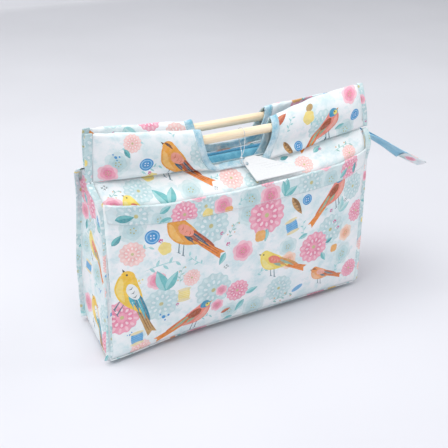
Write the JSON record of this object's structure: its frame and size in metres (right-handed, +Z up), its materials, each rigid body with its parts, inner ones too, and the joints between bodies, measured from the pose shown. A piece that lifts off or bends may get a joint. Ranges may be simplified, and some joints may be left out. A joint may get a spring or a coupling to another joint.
{
  "type": "knitting bag",
  "caption": "Soft upright printed bag with a full-width front pocket, a zip along the top and two fabric sleeves holding wooden rods as handles.",
  "frame": {"origin": "middle of the flat underside that the bag stands on", "axes": "+Z up, +X along the bag towards the zip's hanging tail, -Y towards the pocket"},
  "size_m": [0.5189, 0.1486, 0.304],
  "materials": {
    "printed_cloth": "matt coated cotton, printed",
    "lining_cloth": "plain woven lining",
    "blue_binding": "folded bias binding, mottled",
    "rod_wood": "pale sanded hardwood",
    "board": "plain stiffening board",
    "zip_tape": "woven tape",
    "zip_nylon": "moulded nylon coil",
    "zip_metal": "bright plated",
    "card": "white card",
    "clear_nylon": "clear nylon"
  },
  "bodies": {
    "bag": {"front_panel": "printed_cloth", "back_panel": "printed_cloth", "front_pocket": "printed_cloth", "left_gusset": "printed_cloth", "right_gusset": "printed_cloth", "base_panel": "printed_cloth", "base_board": "board", "front_lining": "lining_cloth", "back_lining": "lining_cloth", "left_lining": "lining_cloth", "right_lining": "lining_cloth", "base_lining": "lining_cloth", "front_left_binding": "printed_cloth", "front_right_binding": "printed_cloth", "back_left_binding": "printed_cloth", "back_right_binding": "printed_cloth", "zip_front_tape": "zip_tape", "zip_back_tape": "zip_tape", "zip_front_coil": "zip_nylon", "zip_back_coil": "zip_nylon", "zip_left_end": "zip_tape", "zip_right_end": "zip_tape"},
    "front_handle": {"front_sleeve": "printed_cloth", "front_notch_binding": "blue_binding", "front_sleeve_left_binding": "printed_cloth", "front_sleeve_right_binding": "printed_cloth"},
    "front_rod": {"front_rod": "rod_wood"},
    "back_handle": {"back_sleeve": "printed_cloth", "back_notch_binding": "blue_binding", "back_sleeve_left_binding": "printed_cloth", "back_sleeve_right_binding": "printed_cloth"},
    "back_rod": {"back_rod": "rod_wood"},
    "slider": {"zip_slider": "zip_metal"},
    "puller": {"zip_puller": "zip_metal"},
    "zip_tail": {"zip_tail_tape": "zip_tape", "zip_tail_coil": "zip_nylon", "zip_tail_tab": "printed_cloth"},
    "tag_string": {"tag_loop": "clear_nylon", "tag_lock": "clear_nylon"},
    "tag_card": {"swing_tag": "card"}
  },
  "joints": [
    {"name": "front_handle_fold", "type": "hinge", "parent": "bag", "child": "front_handle", "pos_m": [0, -0.038, 0.2385], "axis": [1, 0, 0], "range_deg": [-4, 95]},
    {"name": "front_rod_spin", "type": "hinge", "parent": "front_handle", "child": "front_rod", "pos_m": [0, -0.03745, 0.267], "axis": [1, 0, 0], "continuous": true},
    {"name": "back_handle_fold", "type": "hinge", "parent": "bag", "child": "back_handle", "pos_m": [0, 0.012, 0.2385], "axis": [-1, 0, 0], "range_deg": [-4, 80]},
    {"name": "back_rod_spin", "type": "hinge", "parent": "back_handle", "child": "back_rod", "pos_m": [0, 0.01085, 0.267], "axis": [1, 0, 0], "continuous": true},
    {"name": "zip_slide", "type": "slide", "parent": "bag", "child": "slider", "axis": [1, 0, 0], "range_m": [0, 0.358]},
    {"name": "puller_flip", "type": "hinge", "parent": "slider", "child": "puller", "pos_m": [-0.186, -0.013, 0.23975], "axis": [0, -1, 0], "range_deg": [0, 170]},
    {"name": "tail_swing", "type": "hinge", "parent": "bag", "child": "zip_tail", "pos_m": [0.198, -0.013, 0.2344], "axis": [0, 1, 0], "range_deg": [-10, 35], "stiffness_Nm_per_rad": 0.04, "springref_deg": -5.16},
    {"name": "tag_string_swing", "type": "hinge", "parent": "front_handle", "child": "tag_string", "pos_m": [0, -0.03745, 0.267], "axis": [1, 0, 0], "range_deg": [-100, 5]},
    {"name": "tag_card_swing", "type": "hinge", "parent": "tag_string", "child": "tag_card", "pos_m": [0.002, -0.0557, 0.2306], "axis": [1, 0, 0], "range_deg": [-3, 51]}
  ],
  "couplings": [
    {"joint": "tag_string_swing", "follows": "front_handle_fold", "ratio": -1.05},
    {"joint": "tag_card_swing", "follows": "front_handle_fold", "ratio": 0.53}
  ]
}
